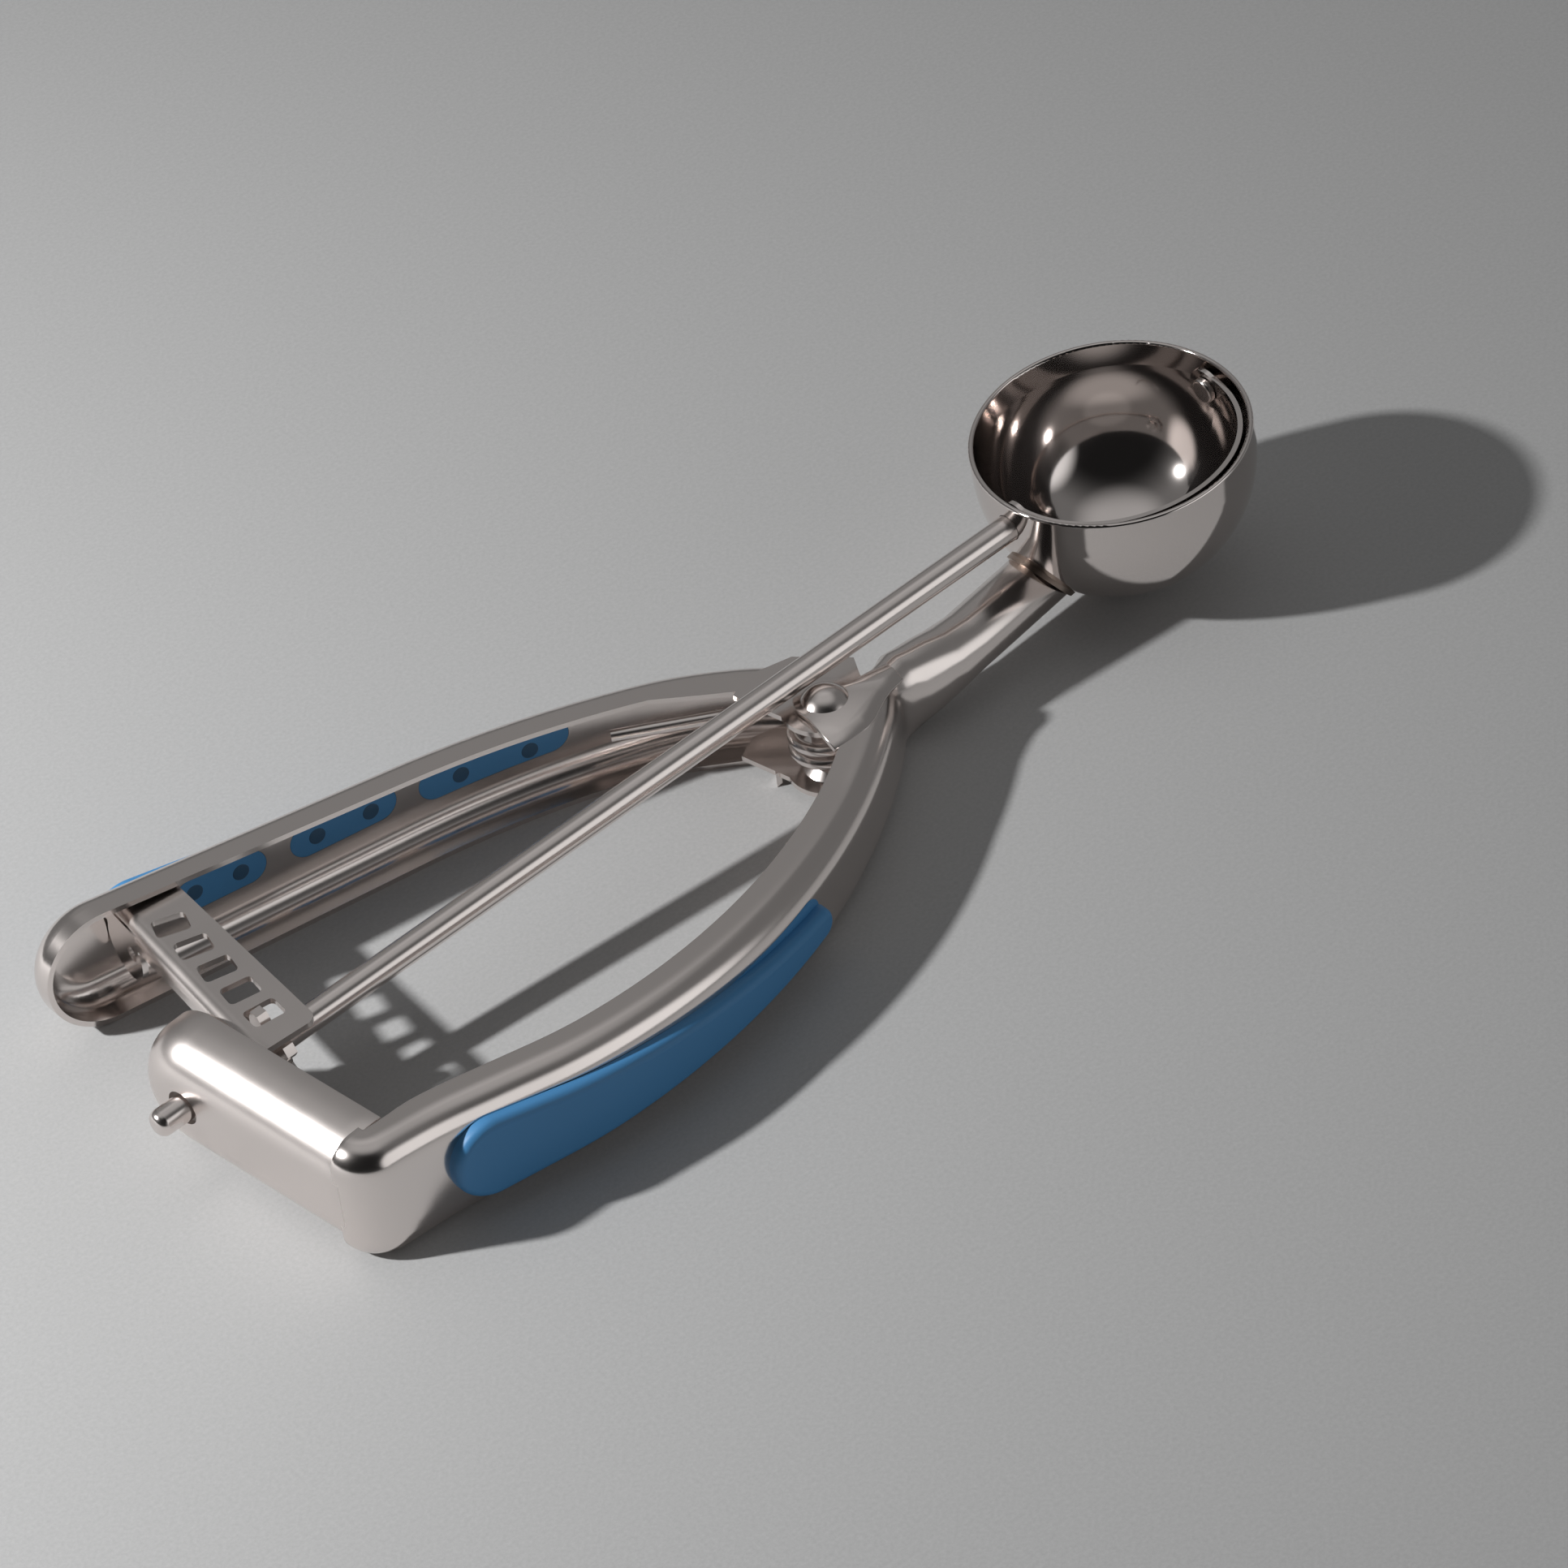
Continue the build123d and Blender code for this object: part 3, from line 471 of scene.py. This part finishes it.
def trim_to_bowl(ring, back):
    """Slides a ring's points along the neck until they end inside the bowl's wall."""
    inside = BOWL_RADIUS - SHEET / 2
    trimmed = []
    for point, behind in zip(ring, back):
        along = (Vector(point) - Vector(behind)).normalized()
        offset = Vector(behind) - BOWL_CENTRE
        half = offset.dot(along)
        reach = -half - max(half * half - offset.dot(offset) + inside ** 2, 0.0) ** 0.5
        trimmed.append(tuple(Vector(behind) + along * reach))
    return trimmed


rings = neck_sections() + channel_sections()
rings[0] = trim_to_bowl(rings[0], rings[1])
fixed_shell = mesh_piece("fixed_handle_shell", [in_frame(*p) for ring in rings for p in ring],
                         ring_faces(len(rings), POINTS_SECTION), handle_steel, "scoop_body",
                         SHEET, node="fixed_handle")
print(fixed_shell.name, "from", len(rings), "sections")

# %% [markdown]
# The fixed handle's ears
#
# Two ears hold the rivet. Each is raised from the flange by a pressed step that runs forward
# along the neck, so an ear is a flat outline with a short ramp along one side. The upper ear's
# sheet is thickened downwards and the lower ear's upwards, so both stay within the handle.

# %% Ears
EAR_ROUND = 4.4
EAR_TURN = range(4, 180, 8)
EAR_BACK = [(-4.38, -0.4), (-4.5, -2.0), (-5.0, -4.2)]
EAR_STEP = [(-5.5, -6.6), (-2.6, -6.65), (0.6, -6.4), (2.6, -5.65), (4.2, -4.7), (6.0, -3.7),
            (7.8, -2.9), (10.6, -2.3)]
EAR_FRONT = [(10.6, -0.6), (7.6, -0.2), (5.4, 0.0)]
LOW_EAR_STEP, LOW_EAR_FRONT = EAR_STEP[:5], [(5.2, -1.5)]
RAMP = (0.0, -1.9)
TOP_EAR, LOW_EAR = 14.2, 0.7
TOP_FLANGE, LOW_FLANGE = 13.25, 0.02


def ear(name, level, flange, thickness, step, front):
    """Flat outline at a level, its step joined down to the flange."""
    turn = [(EAR_ROUND * cos(radians(a)), EAR_ROUND * sin(radians(a))) for a in EAR_TURN]
    outline = turn + EAR_BACK + step + front
    points = [in_frame(x, y, level) for x, y in outline]
    foot = [in_frame(x + RAMP[0], y + RAMP[1], flange) for x, y in step]
    first = len(turn) + len(EAR_BACK)
    base = len(points)
    faces = [tuple(range(base))]
    faces += [(first + i, base + i, base + i + 1, first + i + 1) for i in range(len(step) - 1)]
    return mesh_piece(name, points + foot, faces, handle_steel, "scoop_body", thickness,
                      node="fixed_handle")


ears = (ear("fixed_top_ear", TOP_EAR, TOP_FLANGE, SHEET, EAR_STEP, EAR_FRONT),
        ear("fixed_low_ear", LOW_EAR, LOW_FLANGE, -SHEET, LOW_EAR_STEP, LOW_EAR_FRONT))
print([piece.name for piece in ears], "at", TOP_EAR, "and", LOW_EAR, "mm")

# %% [markdown]
# The gear housing
#
# A deep trough, open towards the bowl, with one rounded end. Its back is pressed with a very
# large round, and the brushed round catches the lamp in one broad highlight. The mesh is the
# outline of its mouth, drawn inwards along a quarter circle to the flat back. One more ring lies
# just inside the back's edge, so that the smooth shading stays on the round.

# %% Housing
HOUSING_CORNER = Vector((-95.85, -24.95, 0.0))
HOUSING_TILT = atan(0.111)
HOUSING_DEPTH, HOUSING_LENGTH, HOUSING_HEIGHT = 8.85, 40.3, 18.6
HOUSING_ROUND = 6.4
BACK_RIM = 0.3
STRAIGHT_STEPS, NOSE_STEPS, ROUND_STEPS = 12, 24, 12


def housing_ring(back, inset):
    """Outline of the trough's mouth at a depth, moved inwards by an inset."""
    nose = HOUSING_HEIGHT / 2
    straight = HOUSING_LENGTH - nose
    outline = [(0.0, HOUSING_HEIGHT - inset)]
    for i in range(1, STRAIGHT_STEPS):
        outline.append((straight * i / STRAIGHT_STEPS, HOUSING_HEIGHT - inset))
    for i in range(NOSE_STEPS + 1):
        a = pi / 2 - pi * i / NOSE_STEPS
        outline.append((straight + (nose - inset) * cos(a), nose + (nose - inset) * sin(a)))
    for i in range(STRAIGHT_STEPS - 1, -1, -1):
        outline.append((straight * i / STRAIGHT_STEPS, inset))
    ring = []
    for along, z in outline:
        x = HOUSING_CORNER.x - sin(HOUSING_TILT) * along - cos(HOUSING_TILT) * back
        y = HOUSING_CORNER.y + cos(HOUSING_TILT) * along - sin(HOUSING_TILT) * back
        ring.append(in_frame(x, y, z))
    return ring


housing_rings = [housing_ring(back, 0.0) for back in (0.0, HOUSING_DEPTH - HOUSING_ROUND)]
for i in range(1, ROUND_STEPS + 1):
    a = pi / 2 * i / ROUND_STEPS
    housing_rings.append(housing_ring(HOUSING_DEPTH - HOUSING_ROUND * (1 - sin(a)),
                                      HOUSING_ROUND * (1 - cos(a))))
housing_rings.append(housing_ring(HOUSING_DEPTH, HOUSING_ROUND + BACK_RIM))
ring_size = len(housing_rings[0])
last = (len(housing_rings) - 1) * ring_size
housing_faces = ring_faces(len(housing_rings), ring_size) + [tuple(range(last, last + ring_size))]
housing = mesh_piece("housing_trough", [p for ring in housing_rings for p in ring], housing_faces,
                     housing_steel, "scoop_body", SHEET, node="gear_housing")
print(housing.name, "from", len(housing_rings), "rings of", ring_size, "points")

# %% [markdown]
# The hole for the rod
#
# The rod runs out through the housing's back. The hole is made after the pressing, and a boolean
# does the same here: a cylinder on the rod's line is cut out of the finished sheet. The result
# is kept as a plain mesh, with the hole's edges marked sharp so that they shade crisply.

# %% Bore the housing
ROD_HOLE = 2.55
ROD_LINE = Vector((-112.6, 3.7, 9.5))
ROD_SLOPE = radians(3.75)
DRILL_LENGTH, DRILL_SIDES = 30.0, 48
SHARP_ANGLE = 35


def drill(name, place, axis):
    """A cylinder for cutting the rod's hole."""
    mesh = bpy.data.meshes.new(name)
    shape = bmesh.new()
    turn = Vector(axis).to_track_quat("Z", "Y").to_matrix().to_4x4()
    bmesh.ops.create_cone(shape, cap_ends=True, segments=DRILL_SIDES, radius1=ROD_HOLE * MM,
                          radius2=ROD_HOLE * MM, depth=DRILL_LENGTH * MM,
                          matrix=Matrix.Translation(place) @ turn)
    shape.to_mesh(mesh)
    shape.free()
    return bpy.data.objects.new(name, mesh)


def bore(piece, tool):
    """Cuts a tool's shape out of a piece and leaves a plain mesh."""
    bpy.context.collection.objects.link(tool)
    cut = piece.modifiers.new("bore", "BOOLEAN")
    cut.operation = "DIFFERENCE"
    cut.solver = "EXACT"
    cut.object = tool
    bpy.context.view_layer.update()
    seen = piece.evaluated_get(bpy.context.evaluated_depsgraph_get())
    result = bpy.data.meshes.new_from_object(seen)
    piece.modifiers.clear()
    result.set_sharp_from_angle(angle=radians(SHARP_ANGLE))
    piece.data = result
    bpy.data.objects.remove(tool)


rod_way = Vector((cos(ROD_SLOPE), 0.0, sin(ROD_SLOPE)))
bore(housing, drill("rod_hole", in_frame(*ROD_LINE), rod_way))
print("housing", len(housing.data.vertices), "vertices after the bore")

# %% [markdown]
# The torsion spring
#
# Hard-drawn wire is wound round the rivet and its two straight legs press the handles apart. A
# curve with a round bevel is the direct way: the legs are tangents to the coil, so the angles at
# which the coil starts and ends follow from where the legs end.

# %% Spring
WIRE_RADIUS, COIL_RADIUS = 0.9, 4.9
COIL_TOP, COIL_PITCH, WHOLE_TURNS = 10.1, 2.3, 2
MOVING_LEG_END, FIXED_LEG_END = Vector((-22.4, 19.6)), Vector((-22.6, -22.3))
STEPS_A_TURN = 40
WIRE_ROUNDNESS = 5


def tangent_angle(end, side):
    """Angle on the coil where a straight leg from an end point touches it."""
    return atan2(end.y, end.x) + side * acos(COIL_RADIUS / end.length)


def spring_points():
    start = tangent_angle(MOVING_LEG_END, -1)
    swept = 2 * pi * WHOLE_TURNS + start - tangent_angle(FIXED_LEG_END, 1)
    steps = round(swept / (2 * pi) * STEPS_A_TURN)
    coil = []
    for i in range(steps + 1):
        a = start - swept * i / steps
        drop = COIL_PITCH * swept * i / steps / (2 * pi)
        coil.append((COIL_RADIUS * cos(a), COIL_RADIUS * sin(a), COIL_TOP - drop))
    return [(*MOVING_LEG_END, coil[0][2])] + coil + [(*FIXED_LEG_END, coil[-1][2])]


def wire_piece(name, points, radius, material, body, node):
    """A round wire along the points."""
    curve = bpy.data.curves.new(name, "CURVE")
    curve.dimensions = "3D"
    curve.bevel_depth = radius * MM
    curve.bevel_resolution = WIRE_ROUNDNESS
    curve.use_fill_caps = True
    line = curve.splines.new("POLY")
    line.points.add(len(points) - 1)
    for target, point in zip(line.points, points):
        target.co = (*in_frame(*point), 1.0)
    piece = bpy.data.objects.new(name, curve)
    bpy.context.collection.objects.link(piece)
    curve.materials.append(material)
    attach(piece, body)
    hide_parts(node)
    return piece


spring = wire_piece("spring_coil", spring_points(), WIRE_RADIUS, wire_steel, "scoop_body",
                    "torsion_spring")
print(spring.name, "of", len(spring.data.splines[0].points), "points")

# %% [markdown]
# Painted shade on the grip's plugs
#
# Three plugs of the moving pad show through the handle's web. They lie inside the channel, where
# shade falls, and two small discs of a darker blue on each plug's face are painted shade. Each
# disc is shallow and lies on the plug's face: its profile runs from the middle to the sunk rim,
# and it is turned as the web is at that place.

# %% Pin marks
SHADE_DISC_PROFILE = [(0.02, 0.05), (1.1, 0.05), (1.25, 0.02), (1.3, -0.05)]
SHADE_DISC_PLACES = [((-81.31, 36.77, 9.65), 7.7), ((-74.24, 35.81, 9.3), 7.7),
               ((-62.41, 34.21, 9.1), 7.7), ((-54.07, 33.08, 8.8), 7.7),
               ((-40.23, 30.85, 7.9), 11.8), ((-30.09, 28.40, 7.3), 15.2)]
SHADE_DISC_STEPS = 32
# The darker blue is painted shade, for the shade inside the handle's channel.
PAINTED_SHADE_BLUE = "#27506f"


def shade_disc_mesh():
    points, faces = [], []
    for (x, y, z), lean in SHADE_DISC_PLACES:
        along = Vector((cos(radians(lean)), -sin(radians(lean)), 0.0))
        outward = Vector((-sin(radians(lean)), -cos(radians(lean)), 0.0))
        start = len(points)
        for radius, height in SHADE_DISC_PROFILE:
            for i in range(SHADE_DISC_STEPS):
                a = 2 * pi * i / SHADE_DISC_STEPS
                spoke = along * cos(a) + Vector((0.0, 0.0, sin(a)))
                points.append(in_frame(*(Vector((x, y, z)) + spoke * radius + outward * height)))
        middle = tuple(range(SHADE_DISC_STEPS - 1, -1, -1))
        disc = ring_faces(len(SHADE_DISC_PROFILE), SHADE_DISC_STEPS, closed=True) + [middle]
        faces += [tuple(start + v for v in face) for face in disc]
    return points, faces


# Painted shade: darker blue discs on the three plugs, which lie in shade inside the channel.
painted_shade_rubber = moulded_rubber("rubber_painted_shade", PAINTED_SHADE_BLUE)
plug_shade = mesh_piece("plug_painted_shade", *shade_disc_mesh(), painted_shade_rubber, "squeeze_handle", bevel=0.0,
                   slot="blue_grip")
print(plug_shade.name, "of", len(SHADE_DISC_PLACES), "painted_shade_spots")

# %% [markdown]
# The paper
#
# The scoop lies on wide matt grey paper. Paper scatters light evenly and has a faint mottle where
# its fibres lie thicker, so a rough surface with two near greys mixed by a fine noise is enough.
# Single fibres are too fine to show, so the mottle is drawn 0.6 mm wide.

# %% Floor
FLOOR_GREYS = ("#9e9e9e", "#bcbcbc")
FLOOR_REACH = 3.0
FLOOR_GAP = 0.00002
FIBRE_MM, FIBRE_DEPTH_MM, FIBRE_STRENGTH = 0.6, 0.03, 0.6
PAPER_ROUGHNESS = 0.9


def matt_paper():
    material, tree, shader = new_material("matt_grey_paper")
    place = add_node(tree, "ShaderNodeTexCoord")
    fibre = add_node(tree, "ShaderNodeTexNoise",
                     {"Scale": scale_of(FIBRE_MM), "Detail": 6.0, "Roughness": 0.7},
                     {"Vector": place.outputs["Object"]})
    bump = add_node(tree, "ShaderNodeBump",
                    {"Strength": FIBRE_STRENGTH, "Distance": FIBRE_DEPTH_MM * MM},
                    {"Height": fibre.outputs["Fac"]})
    mottle = add_node(tree, "ShaderNodeMix", {"data_type": "RGBA"},
                      {"Factor": fibre.outputs["Fac"]})
    mottle.inputs["A"].default_value = linear(FLOOR_GREYS[0])
    mottle.inputs["B"].default_value = linear(FLOOR_GREYS[1])
    tree.links.new(mottle.outputs["Result"], shader.inputs["Base Color"])
    shader.inputs["Roughness"].default_value = PAPER_ROUGHNESS
    tree.links.new(bump.outputs["Normal"], shader.inputs["Normal"])
    return material


def paper_floor():
    mesh = bpy.data.meshes.new("paper_sweep")
    r = FLOOR_REACH
    mesh.from_pydata([(-r, -r, 0), (r, -r, 0), (r, r, 0), (-r, r, 0)], [], [(0, 1, 2, 3)])
    floor = bpy.data.objects.new("paper_sweep", mesh)
    floor.location.z = CAD_BOUNDS[0][2] - FLOOR_GAP
    mesh.materials.append(matt_paper())
    bpy.context.collection.objects.link(floor)
    return floor


floor = paper_floor()
print(floor.name, 2 * FLOOR_REACH, "m wide,", round(floor.location.z / MM, 2), "mm high")

# %% [markdown]
# The lamp
#
# One small lamp stands on the left, about a metre away and 35 degrees up. Its distance gives the
# floor its fall-off from left to right and its size gives the shadows their soft edge.

# %% Lamp
KEY_PLACE = Vector((-0.711, 0.3755, 0.5756))
KEY_AIM = Vector((-0.33, 0.175, 0.0))
KEY_BEAM = 75.0
KEY_WATTS = 3.05
KEY_SIZE = 0.05


def area_lamp(name, place, target, size, watts, beam):
    data = bpy.data.lights.new(name, "AREA")
    data.shape = "DISK"
    data.size = size
    data.energy = watts
    data.spread = radians(beam)
    lamp = bpy.data.objects.new(name, data)
    lamp.location = place
    lamp.rotation_euler = (target - place).to_track_quat("-Z", "Y").to_euler()
    bpy.context.collection.objects.link(lamp)
    return lamp


key = area_lamp("key_lamp", KEY_PLACE, KEY_AIM, KEY_SIZE, KEY_WATTS, KEY_BEAM)
print(key.name, round(key.location.length, 2), "m away")

# %% [markdown]
# The surroundings
#
# Polished steel shows the room, so the world is a dim even ceiling with a few soft patches. A
# pale wall low on the right gives the rod and the rounds their long light stripe, and lights
# overhead whiten the upward faces. The far left and the room behind the camera are dark, and
# they give the bowl and the handles their dark bands. Each patch has a direction, the cosines at
# which it starts and is full, and the strength that it adds.

# %% Surroundings
CEILING = 0.15
CEILING_COLOUR = "#ffffff"
PATCHES = [
    ("pale_wall", (0.38, -0.88, 0.20), 0.84, 0.95, 0.75),
    ("far_dark", (-0.86, 0.50, 0.0), 0.80, 0.99, -0.10),
    ("dark_room", (-0.60, -0.74, 0.30), 0.25, 0.80, -0.14),
    ("far_ceiling", (0.44, 0.62, 0.65), 0.84, 0.92, 0.07),
    ("ceiling_lights", (0.1, 0.14, 1.0), 0.78, 0.97, 0.24),
]


def surroundings():
    """World brightness by direction: an even ceiling, plus a smooth patch for each wall."""
    world = bpy.data.worlds.new("studio")
    world.use_nodes = True
    bpy.context.scene.world = world
    tree = world.node_tree
    background = tree.nodes["Background"]
    place = add_node(tree, "ShaderNodeTexCoord")
    level = None
    for name, direction, edge, core, strength in PATCHES:
        facing = add_node(tree, "ShaderNodeVectorMath", {"operation": "DOT_PRODUCT"},
                          {"Vector": place.outputs["Generated"]})
        facing.inputs[1].default_value = Vector(direction).normalized()
        patch = add_node(tree, "ShaderNodeMapRange", {
            "interpolation_type": "SMOOTHSTEP",
            "From Min": edge, "From Max": core, "To Max": strength,
        }, {"Value": facing.outputs["Value"]})
        patch.label = name
        total = add_node(tree, "ShaderNodeMath", {"operation": "ADD"})
        tree.links.new(patch.outputs["Result"], total.inputs[0])
        if level is None:
            total.inputs[1].default_value = CEILING
        else:
            tree.links.new(level, total.inputs[1])
        level = total.outputs["Value"]
    tree.links.new(level, background.inputs["Strength"])
    background.inputs["Color"].default_value = linear(CEILING_COLOUR)
    return world


world = surroundings()
print(world.name, "with a ceiling of", CEILING, "and", [patch[0] for patch in PATCHES])
